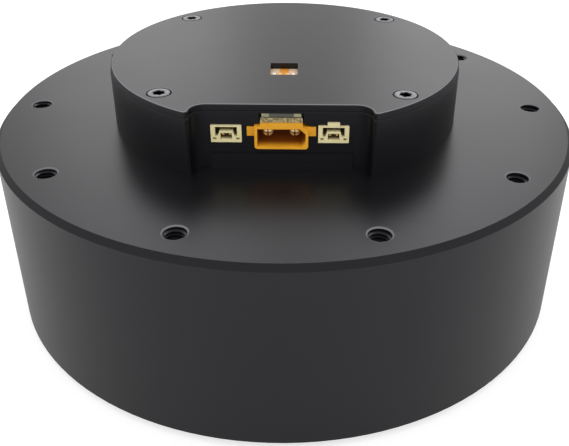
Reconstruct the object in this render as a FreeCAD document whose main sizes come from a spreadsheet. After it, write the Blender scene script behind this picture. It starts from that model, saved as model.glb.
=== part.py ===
# Rotary joint actuator: a brushless motor around a planetary gear stage, with its driver board on the back.
# Millimetres. The output flange's front face is z = 0 and +Z points to the rear face and the driver cover.
# The connectors are on the -Y side.
import FreeCAD
import Part
import math
import os
import Sketcher
from FreeCAD import Placement, Rotation, Vector

doc = FreeCAD.newDocument("joint_actuator")

# Driving dimensions
driving = {
    # body shell
    "bodyRadius": 60.0, "bodyBottom": 1.2, "rearFace": 39.2, "rimChamfer": 1.0, "baseChamfer": 0.5,
    "mouthRadius": 59.2, "plateTop": 5.2, "statorRadius": 55.0, "statorSeat": 25.2, "seatRadius": 53.8,
    "rimInner": 48.5, "rimBottom": 29.2, "wallBottom": 34.2, "shaftHole": 8.8,
    # boss for the driver board, its notch and its cover
    "bossRadius": 36.15, "bossTop": 50.5, "bossBore": 32.5, "bossWallInner": 25.3, "bossChamfer": 0.35,
    "notchHalfWidth": 16.3, "notchBack": 28.0, "notchFillet": 2.8, "notchCorner": 0.75,
    "ledgeHalfWidth": 13.0, "ledgeFront": 28.8, "ledgeTop": 42.2, "stepFront": 29.2, "stepTop": 40.7,
    "coverRadius": 35.95, "coverTop": 51.7, "coverChamfer": 0.3, "coverNotch": 27.9, "windowHalf": 2.75,
    "coverScrewCircle": 32.2, "coverScrewAngle": 45.0, "coverScrewCount": 4, "lugRadius": 2.8,
    "coverHole": 1.5, "coverSink": 1.05, "screwTap": 1.0,
    # tapped mounting holes in the rear face
    "tappedCircle": 53.3, "tappedRadius": 2.0, "mouthChamfer": 0.25, "tappedDepth": 8.0,
    "tappedCount": 10, "tappedAngle": -72.0,
    # driver board and what stands on it
    "boardBottom": 48.1, "boardTop": 49.1, "boardRadius": 31.8, "boardFront": 25.0, "boardTab": 27.9,
    "tabHalf": 3.85, "postCircle": 27.0, "postRadius": 2.4, "postAngle": 70.0, "postCount": 3,
    "dipBack": 6.9, "dipFront": 13.3, "dipHalf": 2.8, "dipTop": 50.4, "leverPitch": 1.27, "leverTravel": 1.0,
    # power connector and the two signal headers in the notch
    "powerHalf": 4.9, "powerBottom": 43.2, "powerTop": 47.7, "powerFront": 28.8, "powerDepth": 10.5,
    "earHalf": 6.3, "earBottom": 45.55, "earTop": 47.35, "pinSide": 2.45, "pinHeight": 45.6,
    "pinRadius": 1.0, "pinFront": 27.2, "tailPlace": 17.2,
    "headerHalf": 2.8, "headerBottom": 44.35, "headerTop": 47.65, "headerFront": 28.4, "latchHalf": 1.1,
    "latchTop": 48.3, "leftHeader": 10.05, "rightHeader": 9.5, "fit": 0.15,
    # output bearing and front plate
    "bearingOuter": 36.0, "bearingInner": 28.0, "bearingBottom": 2.2, "bearingTop": 10.2,
    "bearingMiddle": 6.2, "raceOuter": 32.3, "raceInner": 31.7, "rollerCircle": 32.0, "rollerRadius": 1.75,
    "rollerCount": 12, "raceDepth": 2.53, "plateBolts": 57.1, "plateBoltCount": 6, "plateSink": 0.85,
    "tubeRadius": 38.2, "tubeTop": 25.2,
    # planetary gears
    "toothModule": 1.0, "pressureAngle": 25.0, "toothRelief": 0.06, "sunTeeth": 12, "planetTeeth": 24,
    "ringTeeth": 60, "planetCount": 3, "planetCircle": 18.0, "gearBottom": 13.2, "gearTop": 24.2,
    "sunTop": 24.8, "ringGearRadius": 34.0, "ringGearBottom": 12.2, "journal": 2.95, "bushRadius": 3.0,
    "bushOuter": 4.2,
    # output flange and carrier
    "flangeRadius": 31.6, "hubTop": 12.2, "pillarCircle": 24.0, "pillarRadius": 3.7, "pillarTop": 25.4,
    "carrierTop": 28.4, "carrierRadius": 27.5, "carrierHole": 1.5, "carrierSink": 1.3,
    "outputBolts": 22.0, "outputBoltCount": 8, "outputBoltRadius": 2.0, "outputBoltDepth": 7.5,
    "pilotRadius": 10.0, "pilotDepth": 2.0,
    # rotor
    "magnetOuter": 44.3, "rotorOuter": 41.9, "rotorInner": 39.2, "stackBottom": 9.2, "discBottom": 29.4,
    "discTop": 32.4, "frontShaft": 3.0, "rearShaft": 6.0, "rearBearingOuter": 10.5,
    "rearBearingBottom": 33.2, "rearBearingTop": 38.2, "magnetCount": 20, "hubBolts": 40.55,
    "hubBoltCount": 4, "hubTap": 0.8, "windowCount": 6, "windowCircle": 26.0, "windowRadius": 7.5,
    # stator
    "statorBore": 45.0, "toothCount": 18, "yokeInner": 51.5, "leadRadius": 0.9, "leadAngle": 100.0,
}

sheet = doc.addObject("Spreadsheet::Sheet", "Sizes")
for row, (name, number) in enumerate(driving.items(), start=1):
    sheet.set(f"A{row}", name)
    sheet.set(f"B{row}", str(number))
    sheet.setAlias(f"B{row}", name)
doc.recompute()


def value(text):
    """Number of a sum such as 'rearFace - rimChamfer', worked out from the sheet."""
    total = 0.0
    sign = 1
    for word in str(text).split():
        if word in "+-":
            sign = -1 if word == "-" else 1
        else:
            total += sign * float(sheet.get(word) if word in driving else word)
    return total


def bound(text):
    """The same sum as an expression on the sheet's cells."""
    return " ".join(f"Sizes.{word}" if word in driving else word for word in str(text).split())


# How a sub-part is made
nodes = {}


def startBody(label):
    body = doc.addObject("PartDesign::Body", label)
    body.Label = label
    nodes[label] = body
    return body


def originOf(body, role):
    return next(item for item in body.Origin.OriginFeatures if item.Role == role)


def placePoint(sketch, edge, end, x, y):
    """Ties one end of an edge to the coordinates x, y."""
    for kind, axis, text in (("DistanceX", -2, x), ("DistanceY", -1, y)):
        if value(text) == 0:
            sketch.addConstraint(Sketcher.Constraint("PointOnObject", edge, end, axis))
        else:
            index = sketch.addConstraint(Sketcher.Constraint(kind, edge, end, value(text)))
            sketch.setExpression(f"Constraints[{index}]", bound(text))


def addLoop(sketch, points):
    first = sketch.GeometryCount
    corners = [Vector(value(x), value(y), 0) for x, y in points]
    count = len(points)
    for number in range(count):
        sketch.addGeometry(Part.LineSegment(corners[number], corners[(number + 1) % count]))
    for number, (x, y) in enumerate(points):
        after = first + (number + 1) % count
        sketch.addConstraint(Sketcher.Constraint("Coincident", first + number, 2, after, 1))
        placePoint(sketch, first + number, 1, x, y)


def addCircle(sketch, x, y, radius):
    centre = Vector(value(x), value(y), 0)
    edge = sketch.addGeometry(Part.Circle(centre, Vector(0, 0, 1), value(radius)))
    placePoint(sketch, edge, 3, x, y)
    index = sketch.addConstraint(Sketcher.Constraint("Radius", edge, value(radius)))
    sketch.setExpression(f"Constraints[{index}]", bound(radius))


def addChordedDisc(sketch, radius, chord):
    """A disc cut off by the line y = -chord."""
    size, drop = value(radius), value(chord)
    start = -math.asin(drop / size)
    circle = Part.Circle(Vector(), Vector(0, 0, 1), size)
    arc = sketch.addGeometry(Part.ArcOfCircle(circle, start, math.pi - start))
    half = size * math.cos(start)
    line = sketch.addGeometry(Part.LineSegment(Vector(-half, -drop, 0), Vector(half, -drop, 0)))
    sketch.addConstraint(Sketcher.Constraint("Coincident", arc, 3, -1, 1))
    sketch.addConstraint(Sketcher.Constraint("Coincident", arc, 2, line, 1))
    sketch.addConstraint(Sketcher.Constraint("Coincident", line, 2, arc, 1))
    sketch.addConstraint(Sketcher.Constraint("Horizontal", line))
    for kind, reference, text in (("Radius", (arc,), radius), ("DistanceY", (line, 1), f"0 - {chord}")):
        index = sketch.addConstraint(Sketcher.Constraint(kind, *reference, value(text)))
        sketch.setExpression(f"Constraints[{index}]", bound(text))


def sketchOn(body, name, plane, loops=(), circles=(), lift="0", turn="0", disc=None):
    """Sketch on an origin plane, moved along the plane's normal by lift and turned about Z by turn."""
    sketch = body.newObject("Sketcher::SketchObject", name)
    sketch.AttachmentSupport = [(originOf(body, plane), "")]
    sketch.MapMode = "FlatFace"
    spin = Vector(0, 1, 0) if plane == "XZ_Plane" else Vector(0, 0, 1)
    sketch.AttachmentOffset = Placement(Vector(0, 0, value(lift)), Rotation(spin, value(turn)))
    if value(lift):
        sketch.setExpression("AttachmentOffset.Base.z", bound(lift))
    if value(turn):
        sketch.setExpression("AttachmentOffset.Rotation.Angle", bound(turn))
    for points in loops:
        addLoop(sketch, points)
    for circle in circles:
        addCircle(sketch, *circle)
    if disc:
        addChordedDisc(sketch, *disc)
    return sketch


def revolve(body, name, points, turn="0", axis="V_Axis"):
    """Turns an outline of (radius, height) points round Z, or round its own first edge with axis='Edge1'."""
    sketch = sketchOn(body, name + "Outline", "XZ_Plane", [points], turn=turn)
    feature = body.newObject("PartDesign::Revolution", name)
    feature.Profile = sketch
    feature.ReferenceAxis = (sketch, [axis])
    feature.Angle = 360
    return feature


def extrude(kind, body, name, sketch, length, away=False):
    feature = body.newObject(f"PartDesign::{kind}", name)
    feature.Profile = sketch
    feature.setExpression("Length", bound(length))
    feature.Reversed = away
    return feature


def pad(body, name, plane, length, **shape):
    return extrude("Pad", body, name, sketchOn(body, name + "Outline", plane, **shape), length)


def pocket(body, name, plane, length, **shape):
    """Cuts against the plane's normal, and stops the build if nothing was removed."""
    doc.recompute()
    before = body.Tip.Shape.Volume
    feature = extrude("Pocket", body, name, sketchOn(body, name + "Outline", plane, **shape), length)
    doc.recompute()
    if feature.Shape.isNull() or feature.Shape.Volume > before - 1e-6:
        raise SystemExit(f"{name} cuts nothing from {body.Label}")
    return feature


def polar(body, name, features, count):
    pattern = body.newObject("PartDesign::PolarPattern", name)
    pattern.Originals = features
    pattern.Axis = (originOf(body, "Z_Axis"), [""])
    pattern.Angle = 360
    pattern.setExpression("Occurrences", bound(count))
    body.Tip = pattern
    return pattern


def dress(kind, body, name, size, chosen):
    """Fillet or Chamfer on the edges of the last feature for which chosen(edge) is true."""
    doc.recompute()
    last = body.Tip
    picked = [f"Edge{number}" for number, edge in enumerate(last.Shape.Edges, start=1) if chosen(edge)]
    feature = body.newObject(f"PartDesign::{kind}", name)
    feature.Base = (last, picked)
    feature.setExpression("Radius" if kind == "Fillet" else "Size", bound(size))
    return feature


def box(x, y):
    """Rectangle between two (low, high) pairs."""
    return [(x[0], y[0]), (x[1], y[0]), (x[1], y[1]), (x[0], y[1])]


def ring(inner, outer, bottom, top):
    return [(inner, bottom), (outer, bottom), (outer, top), (inner, top)]


def upright(edge, x, y, reach=0.2):
    """True for an edge parallel to Z that stands at x, y."""
    ends = [vertex.Point for vertex in edge.Vertexes]
    standing = len(ends) == 2 and abs(ends[0].z - ends[1].z) > 1 and ends[0].distanceToPoint(
        Vector(ends[1].x, ends[1].y, ends[0].z)) < 1e-6
    return standing and math.hypot(ends[0].x - x, ends[0].y - y) < reach


# Body shell
notchSide = value("notchHalfWidth")


def notchOutline(back):
    return box(("0 - notchHalfWidth", "notchHalfWidth"), ("-42", f"0 - {back}"))


def notchEdges(body, back, radius):
    """Rounds the notch's inner corners, then its outer ones."""
    dress("Fillet", body, "NotchCorners", "notchFillet",
          lambda edge: upright(edge, notchSide, -value(back)) or upright(edge, -notchSide, -value(back)))
    mouth = math.sqrt(value(radius) ** 2 - notchSide ** 2)
    dress("Fillet", body, "NotchMouth", "notchCorner",
          lambda edge: upright(edge, notchSide, -mouth) or upright(edge, -notchSide, -mouth))


def roundEdge(radius, height):
    """Test for a circular edge of this radius that lies flat at this height."""
    size, level = value(radius), value(height)
    return lambda edge: (isinstance(edge.Curve, Part.Circle) and abs(edge.Curve.Radius - size) < 1e-6
                         and abs(edge.Curve.Center.z - level) < 1e-6)


def rimEdge(edge, height, radius, back):
    """True for an edge of the boss's or the cover's outline at this height."""
    points = [vertex.Point for vertex in edge.Vertexes]
    return all(abs(point.z - height) < 1e-4 and (math.hypot(point.x, point.y) > radius - 0.1
                                                 or point.y < -back + 0.01) for point in points)


def mainHousing():
    body = startBody("main_housing")
    revolve(body, "Shell", [
        ("shaftHole", "rearFace"), ("bodyRadius - rimChamfer", "rearFace"),
        ("bodyRadius", "rearFace - rimChamfer"), ("bodyRadius", "bodyBottom + baseChamfer"),
        ("bodyRadius - baseChamfer", "bodyBottom"), ("mouthRadius", "bodyBottom"),
        ("mouthRadius", "plateTop"), ("statorRadius", "plateTop"), ("statorRadius", "statorSeat"),
        ("seatRadius", "statorSeat"), ("seatRadius", "rimBottom"), ("rimInner", "rimBottom"),
        ("rimInner", "wallBottom"), ("rearBearingOuter", "wallBottom"),
        ("rearBearingOuter", "rearBearingTop"), ("shaftHole", "rearBearingTop")])
    pad(body, "Boss", "XY_Plane", "bossTop - rearFace", circles=[("0", "0", "bossRadius")], lift="rearFace")
    pocket(body, "Notch", "XY_Plane", "bossTop - rearFace", loops=[notchOutline("notchBack")], lift="bossTop")
    notchEdges(body, "notchBack", "bossRadius")
    dress("Chamfer", body, "BossEdge", "bossChamfer",
          lambda edge: rimEdge(edge, value("bossTop"), value("bossRadius"), value("notchBack")))
    pocket(body, "BoardBay", "XY_Plane", "bossTop - rearFace", lift="bossTop",
           disc=("bossBore", "bossWallInner"))
    for name, top, front in (("Ledge", "ledgeTop", "ledgeFront"), ("Step", "stepTop", "stepFront")):
        pad(body, name, "XY_Plane", top + " - rearFace", lift="rearFace", loops=[
            box(("0 - ledgeHalfWidth", "ledgeHalfWidth"), (f"0 - {front}", "0 - notchBack + 0.5"))])
    lug = pad(body, "Lug", "XY_Plane", "bossTop - rearFace", circles=[("coverScrewCircle", "0", "lugRadius")],
              lift="rearFace", turn="coverScrewAngle")
    polar(body, "Lugs", [lug], "coverScrewCount")
    post = pad(body, "Post", "XY_Plane", "boardBottom - rearFace", lift="rearFace", turn="postAngle",
               circles=[("postCircle", "0", "postRadius")])
    polar(body, "Posts", [post], "postCount")
    for name, depth, end, lift in (("LeadChannel", "3", "rimInner", "wallBottom + 3"),
                                   ("LeadSlot", "3", "29.5", "rearFace")):
        pocket(body, name, "XY_Plane", depth, loops=[box(("26", end), ("-6", "6"))], lift=lift,
               turn="leadAngle")
    for name, circle, depth, count, lift, turn in (
            ("TappedHole", ("tappedCircle", "0", "tappedRadius"), "tappedDepth", "tappedCount", "rearFace",
             "tappedAngle"),
            ("CoverScrewHole", ("coverScrewCircle", "0", "screwTap"), "7", "coverScrewCount", "bossTop",
             "coverScrewAngle"),
            ("PostHole", ("postCircle", "0", "screwTap"), "6", "postCount", "boardBottom", "postAngle")):
        hole = pocket(body, name, "XY_Plane", depth, circles=[circle], lift=lift, turn=turn)
        polar(body, name + "s", [hole], count)
    plateHole = pocket(body, "PlateHole", "XY_Plane", "6", circles=[("plateBolts", "0", "screwTap")],
                       lift="plateTop + 6")
    polar(body, "PlateHoles", [plateHole], "plateBoltCount")
    dress("Chamfer", body, "TappedMouths", "mouthChamfer", roundEdge("tappedRadius", "rearFace"))
    connectorWindows(body)
    return body


def minus(text):
    """The sum with every sign turned round."""
    turned = {"+": "-", "-": "+"}
    return " ".join(["0 -"] + [turned.get(word, word) for word in text.split()])


def mirrored(points):
    """Right half of a symmetric outline, followed by its mirror image."""
    return points + [(minus(x), y) for x, y in reversed(points)]


def connectorWindows(body):
    """Openings in the notch's wall for the power connector under the board's edge and for both headers."""
    power = mirrored([
        ("powerHalf + fit", "powerBottom - fit"), ("powerHalf + fit", "earBottom - fit"),
        ("earHalf + fit", "earBottom - fit"), ("earHalf + fit", "earTop + fit"),
        ("powerHalf + fit", "earTop + fit"), ("powerHalf + fit", "powerTop + 0.25"),
        ("tabHalf + 0.25", "powerTop + 0.25"), ("tabHalf + 0.25", "boardTop + 0.85")])
    headers = [box((f"{centre} - headerHalf - fit", f"{centre} + headerHalf + fit"),
                   ("headerBottom - fit", "headerTop + fit")) for centre in ("0 - leftHeader", "rightHeader")]
    latch = box(("rightHeader - latchHalf - fit", "rightHeader + latchHalf + fit"),
                ("headerTop", "latchTop + fit"))
    depth = "ledgeFront - bossWallInner + 0.5"
    pocket(body, "ConnectorWindows", "XZ_Plane", depth, loops=[power] + headers, lift="ledgeFront")
    pocket(body, "LatchWindow", "XZ_Plane", depth, loops=[latch], lift="ledgeFront")


def driverCover():
    body = startBody("driver_cover")
    pad(body, "Plate", "XY_Plane", "coverTop - bossTop", circles=[("0", "0", "coverRadius")], lift="bossTop")
    pocket(body, "Notch", "XY_Plane", "coverTop - bossTop", loops=[notchOutline("coverNotch")],
           lift="coverTop")
    notchEdges(body, "coverNotch", "coverRadius")
    dress("Chamfer", body, "CoverEdge", "coverChamfer",
          lambda edge: rimEdge(edge, value("coverTop"), value("coverRadius"), value("coverNotch")))
    window = {"x": ("0 - windowHalf", "windowHalf"), "y": ("0 - dipFront - 0.2", "0 - dipBack + 0.2")}
    pocket(body, "Window", "XY_Plane", "coverTop - bossTop", lift="coverTop",
           loops=[box(window["x"], window["y"])])
    dress("Fillet", body, "WindowCorners", "0.4",
          lambda edge: any(upright(edge, value(x), value(y)) for x in window["x"] for y in window["y"]))
    through = pocket(body, "ScrewHole", "XY_Plane", "coverTop - bossTop", lift="coverTop",
                     turn="coverScrewAngle", circles=[("coverScrewCircle", "0", "coverHole")])
    polar(body, "ScrewHoles", [through], "coverScrewCount")
    dress("Chamfer", body, "Countersinks", "coverSink", roundEdge("coverHole", "coverTop"))
    return body


def screwSet(label, circle, count, turn, outline):
    """Identical screws round Z. The outline gives (distance from the screw's axis, height) points."""
    body = startBody(label)
    points = [(f"{circle} + {out}" if out != "0" else circle, height) for out, height in outline]
    screw = revolve(body, "Screw", points, turn=turn, axis="Edge1")
    polar(body, "Screws", [screw], count)
    return body


def fasteners():
    screwSet("cover_screws", "coverScrewCircle", "coverScrewCount", "coverScrewAngle", [
        ("0", "44"), ("0", "coverTop"), ("2.2", "coverTop"), ("2.2", "coverTop - 0.3"),
        ("coverHole - 0.05", "coverTop - coverSink"), ("coverHole - 0.05", "bossTop"),
        ("screwTap", "bossTop"), ("screwTap", "44")])
    screwSet("board_screws", "postCircle", "postCount", "postAngle", [
        ("0", "boardTop - 5"), ("0", "boardTop + 1.1"), ("2", "boardTop + 1.1"), ("2", "boardTop"),
        ("screwTap", "boardTop"), ("screwTap", "boardTop - 5")])
    screwSet("front_screws", "plateBolts", "plateBoltCount", "0", [
        ("0", "11"), ("0", "bodyBottom"), ("screwTap + plateSink", "bodyBottom"),
        ("screwTap", "bodyBottom + plateSink"), ("screwTap", "11")])
    screwSet("carrier_screws", "pillarCircle", "planetCount", "30", [
        ("0", "18"), ("0", "carrierTop"), ("carrierHole + carrierSink", "carrierTop"),
        ("carrierHole", "carrierTop - carrierSink"), ("carrierHole", "18")])
    screwSet("hub_screws", "hubBolts", "hubBoltCount", "0", [
        ("0", "24"), ("0", "discTop + 1"), ("1.5", "discTop + 1"), ("1.5", "discTop"), ("hubTap", "discTop"),
        ("hubTap", "24")])


# Front plate and output
def frontHousing():
    body = startBody("front_housing")
    revolve(body, "Plate", [
        ("bearingOuter", "bodyBottom"), ("mouthRadius", "bodyBottom"), ("mouthRadius", "plateTop"),
        ("tubeRadius", "plateTop"), ("tubeRadius", "tubeTop"), ("ringGearRadius", "tubeTop"),
        ("ringGearRadius", "ringGearBottom"), ("32", "ringGearBottom"), ("32", "bearingTop + 1"),
        ("33.2", "bearingTop + 1"), ("33.2", "bearingTop"), ("bearingOuter", "bearingTop")])
    hole = pocket(body, "BoltHole", "XY_Plane", "plateTop - bodyBottom", lift="plateTop",
                  circles=[("plateBolts", "0", "screwTap")])
    polar(body, "BoltHoles", [hole], "plateBoltCount")
    dress("Chamfer", body, "Countersinks", "plateSink", roundEdge("screwTap", "bodyBottom"))
    return body


def outputFlange():
    body = startBody("output_flange")
    revolve(body, "Hub", [
        ("0", "pilotDepth"), ("pilotRadius", "pilotDepth"), ("pilotRadius", "0"), ("flangeRadius - 0.4", "0"),
        ("flangeRadius", "0.4"), ("flangeRadius", "bearingBottom"), ("bearingInner", "bearingBottom"),
        ("bearingInner", "hubTop"), ("5", "hubTop"), ("5", "hubTop - 8"), ("0", "hubTop - 8")])
    pillar = pad(body, "Pillar", "XY_Plane", "pillarTop - hubTop", lift="hubTop", turn="30",
                 circles=[("pillarCircle", "0", "pillarRadius")])
    polar(body, "Pillars", [pillar], "planetCount")
    for name, circle, depth, lift, turn, count in (
            ("PillarHole", ("pillarCircle", "0", "carrierHole"), "8", "pillarTop", "30", "planetCount"),
            ("PinHole", ("planetCircle", "0", "journal"), "4.2", "hubTop", "90", "planetCount"),
            ("BoltHole", ("outputBolts", "0", "outputBoltRadius"), "outputBoltDepth", "outputBoltDepth",
             "22.5", "outputBoltCount")):
        hole = pocket(body, name, "XY_Plane", depth, circles=[circle], lift=lift, turn=turn)
        polar(body, name + "s", [hole], count)
    return body


def carrierPlate():
    body = startBody("carrier_plate")
    revolve(body, "Plate", ring("7.6", "carrierRadius", "pillarTop", "carrierTop"))
    pin = pocket(body, "PinHole", "XY_Plane", "carrierTop - pillarTop", lift="carrierTop", turn="90",
                 circles=[("planetCircle", "0", "journal")])
    polar(body, "PinHoles", [pin], "planetCount")
    screw = pocket(body, "ScrewHole", "XY_Plane", "carrierTop - pillarTop", lift="carrierTop", turn="30",
                   circles=[("pillarCircle", "0", "carrierHole")])
    polar(body, "ScrewHoles", [screw], "planetCount")
    dress("Chamfer", body, "Countersinks", "carrierSink", roundEdge("carrierHole", "carrierTop"))
    return body


def planetPins():
    body = startBody("planet_pins")
    pin = pad(body, "Pin", "XY_Plane", "carrierTop - hubTop + 4", lift="hubTop - 4", turn="90",
              circles=[("planetCircle", "0", "journal")])
    polar(body, "Pins", [pin], "planetCount")


def plainRing(label, inner, outer, bottom, top):
    revolve(startBody(label), "Ring", ring(inner, outer, bottom, top))


def outputBearing():
    """Crossed rollers between two rings, each ring with a V-shaped race."""
    outer = startBody("output_bearing_outer")
    inner = startBody("output_bearing_inner")
    opening = "raceDepth - raceOuter + rollerCircle"
    for body, back, land, root in ((outer, "bearingOuter", "raceOuter", "rollerCircle + raceDepth"),
                                   (inner, "bearingInner", "raceInner", "rollerCircle - raceDepth")):
        revolve(body, "Ring", [
            (back, "bearingBottom"), (back, "bearingTop"), (land, "bearingTop"),
            (land, "bearingMiddle + " + opening), (root, "bearingMiddle"),
            (land, "bearingMiddle - raceDepth + raceOuter - rollerCircle"), (land, "bearingBottom")])
    rollers = []
    length = 2 * value("rollerRadius") - 0.05
    for number in range(int(value("rollerCount"))):
        roller = Part.makeCylinder(value("rollerRadius"), length, Vector(0, 0, -length / 2))
        roller.rotate(Vector(), Vector(0, 1, 0), 45 if number % 2 else -45)
        roller.translate(Vector(value("rollerCircle"), 0, value("bearingMiddle")))
        roller.rotate(Vector(), Vector(0, 0, 1), 360 * number / value("rollerCount"))
        rollers.append(roller)
    shaped("output_bearing_rollers", Part.makeCompound(rollers))


# Shapes that no sketch feature fits
def shaped(label, shape, place=None):
    piece = doc.addObject("Part::Feature", label)
    piece.Label = label
    piece.Shape = shape
    if place:
        piece.Placement = place
    nodes[label] = piece
    return piece


def involute(angle):
    return math.tan(angle) - angle


def gearOutline(teeth, low, high, thinner):
    """Closed outline of straight-sided steps along involute flanks, one tooth centred on +X."""
    pitch = value("toothModule") * teeth / 2
    base = pitch * math.cos(math.radians(value("pressureAngle")))
    half = (math.pi * value("toothModule") / 2 - thinner) / (2 * pitch)
    start = max(low, base)
    steps = 3
    flank = [start + (high - start) * step / steps for step in range(steps + 1)]
    widest = half + involute(math.radians(value("pressureAngle")))
    sides = [(radius, widest - involute(math.acos(base / radius))) for radius in flank]
    if low < base:
        sides.insert(0, (low, sides[0][1]))
    points = []
    for tooth in range(teeth):
        middle = 2 * math.pi * tooth / teeth
        for radius, offset in [(r, -a) for r, a in sides] + [(r, a) for r, a in reversed(sides)]:
            points.append(Vector(radius * math.cos(middle + offset), radius * math.sin(middle + offset), 0))
    return Part.Face(Part.makePolygon(points + points[:1]))


def gearTrain():
    module = value("toothModule")
    bottom = Vector(0, 0, value("gearBottom"))
    width = Vector(0, 0, value("gearTop - gearBottom"))
    relief = value("toothRelief")
    dedendum = 1.25 * module

    sunRadius = module * value("sunTeeth") / 2
    teeth = gearOutline(int(value("sunTeeth")), sunRadius - dedendum, sunRadius + module, relief)
    teeth.translate(Vector(0, 0, value("hubTop + 0.5")))
    sun = teeth.extrude(Vector(0, 0, value("sunTop - hubTop - 0.5")))
    shaped("sun_gear", sun.cut(Part.makeCylinder(value("frontShaft"), 60)))

    planetRadius = module * value("planetTeeth") / 2
    teeth = gearOutline(int(value("planetTeeth")), planetRadius - dedendum, planetRadius + module, relief)
    teeth.translate(bottom)
    planet = teeth.extrude(width).cut(Part.makeCylinder(value("bushOuter"), 60))
    bush = Part.makeCylinder(value("bushOuter"), width.z, bottom).cut(
        Part.makeCylinder(value("bushRadius"), width.z, bottom))
    for number in range(int(value("planetCount"))):
        bearing = 90 + 360 * number / value("planetCount")
        centre = Rotation(Vector(0, 0, 1), bearing).multVec(Vector(value("planetCircle"), 0, 0))
        halfTooth = 180 / value("planetTeeth")
        place = Placement(centre, Rotation(Vector(0, 0, 1), bearing + halfTooth))
        shaped(f"planet_gear_{number + 1}", planet, place)
        shaped(f"planet_bush_{number + 1}", bush, place)

    ringRadius = module * value("ringTeeth") / 2
    spaces = gearOutline(int(value("ringTeeth")), ringRadius - module, ringRadius + dedendum, -relief)
    spaces.rotate(Vector(), Vector(0, 0, 1), 180 / value("ringTeeth"))
    blank = Part.makeCylinder(value("ringGearRadius"), value("tubeTop - ringGearBottom"),
                              Vector(0, 0, value("ringGearBottom")))
    spaces.translate(Vector(0, 0, value("ringGearBottom") - 1))
    shaped("ring_gear", blank.cut(spaces.extrude(Vector(0, 0, 20))))


def phaseLeads():
    """Three insulated leads from the windings, along the channel in the rear wall and up to the board."""
    out, inward = 47.4, 27.8
    low, high = value("statorSeat") + 3, 35.6
    bend = 1.2
    route = [(out, low), (out, high - bend), (out - bend, high), (inward + bend, high), (inward, high + bend),
             (inward, value("boardBottom"))]
    radius = value("leadRadius")
    section = Part.makePolygon([
        Vector(out + radius * math.cos(angle), radius * math.sin(angle), low)
        for angle in (math.radians(45 * corner) for corner in range(9))])
    path = Part.makePolygon([Vector(x, 0, z) for x, z in route])
    lead = path.makePipeShell([section], True, False, 1)
    leads = []
    for offset in (-3.4, 0, 3.4):
        copy = lead.copy()
        copy.translate(Vector(0, offset, 0))
        copy.rotate(Vector(), Vector(0, 0, 1), value("leadAngle"))
        leads.append(copy)
    shaped("phase_leads", Part.makeCompound(leads))


# Motor
def stator():
    core = startBody("stator_core")
    revolve(core, "Yoke", ring("yokeInner", "statorRadius", "stackBottom", "statorSeat"))
    half = [("yokeInner + 1", "2.2"), ("47", "2.2"), ("46.3", "6.4"), ("statorBore - 0.3", "6.5"),
            ("statorBore", "3.2")]
    tooth = pad(core, "Tooth", "XY_Plane", "statorSeat - stackBottom", lift="stackBottom",
                loops=[mirrorAcross(half)])
    polar(core, "Teeth", [tooth], "toothCount")
    coils = startBody("stator_coils")
    lowEnd, highEnd = "stackBottom - 3", "statorSeat + 3"
    coil = pad(coils, "Coil", "YZ_Plane", "4", lift="47.1", loops=[
        chamfered("6.2", lowEnd, highEnd, "1.6"),
        box(("-2.35", "2.35"), ("stackBottom - 0.2", "statorSeat + 0.2"))])
    polar(coils, "Coils", [coil], "toothCount")


def mirrorAcross(points):
    """Upper half of an outline that is symmetric about the X axis, followed by its mirror image."""
    return points + [(x, minus(y)) for x, y in reversed(points)]


def chamfered(half, low, high, corner):
    """Rectangle about the vertical axis with its corners cut off."""
    return [(f"0 - {half} + {corner}", low), (f"{half} - {corner}", low), (half, f"{low} + {corner}"),
            (half, f"{high} - {corner}"), (f"{half} - {corner}", high), (f"0 - {half} + {corner}", high),
            (f"0 - {half}", f"{high} - {corner}"), (f"0 - {half}", f"{low} + {corner}")]


def rotor():
    iron = startBody("rotor_ring")
    revolve(iron, "Ring", ring("rotorInner", "rotorOuter", "stackBottom", "discBottom"))
    thread = pocket(iron, "ScrewHole", "XY_Plane", "discBottom - 24", lift="discBottom",
                    circles=[("hubBolts", "0", "hubTap")])
    polar(iron, "ScrewHoles", [thread], "hubBoltCount")
    magnets = startBody("rotor_magnets")
    half = [("rotorOuter + 0.3", "5.2"), ("magnetOuter - 0.35", "5.3"), ("magnetOuter - 0.05", "2")]
    magnet = pad(magnets, "Magnet", "XY_Plane", "statorSeat - stackBottom", lift="stackBottom",
                 loops=[mirrorAcross(half)])
    polar(magnets, "Magnets", [magnet], "magnetCount")
    hub = startBody("rotor_hub")
    revolve(hub, "Disc", [
        ("0", "4.6"), ("frontShaft", "4.6"), ("frontShaft", "sunTop"), ("5", "sunTop"),
        ("5", "discBottom"), ("rotorOuter", "discBottom"), ("rotorOuter", "discTop"), ("7.2", "discTop"),
        ("7.2", "rearBearingBottom"), ("rearShaft", "rearBearingBottom"), ("rearShaft", "rearBearingTop"),
        ("5.5", "rearBearingTop + 0.4"), ("5.5", "43.2"), ("4", "43.2"), ("4", "41.7"), ("0", "41.7")])
    window = pocket(hub, "DiscWindow", "XY_Plane", "discTop - discBottom", lift="discTop",
                    circles=[("windowCircle", "0", "windowRadius")])
    polar(hub, "DiscWindows", [window], "windowCount")
    screw = pocket(hub, "ScrewHole", "XY_Plane", "discTop - discBottom", lift="discTop",
                   circles=[("hubBolts", "0", "hubTap")])
    polar(hub, "ScrewHoles", [screw], "hubBoltCount")
    revolve(startBody("encoder_magnet"), "Disc", ring("0", "4", "41.7", "44.7"))


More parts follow.
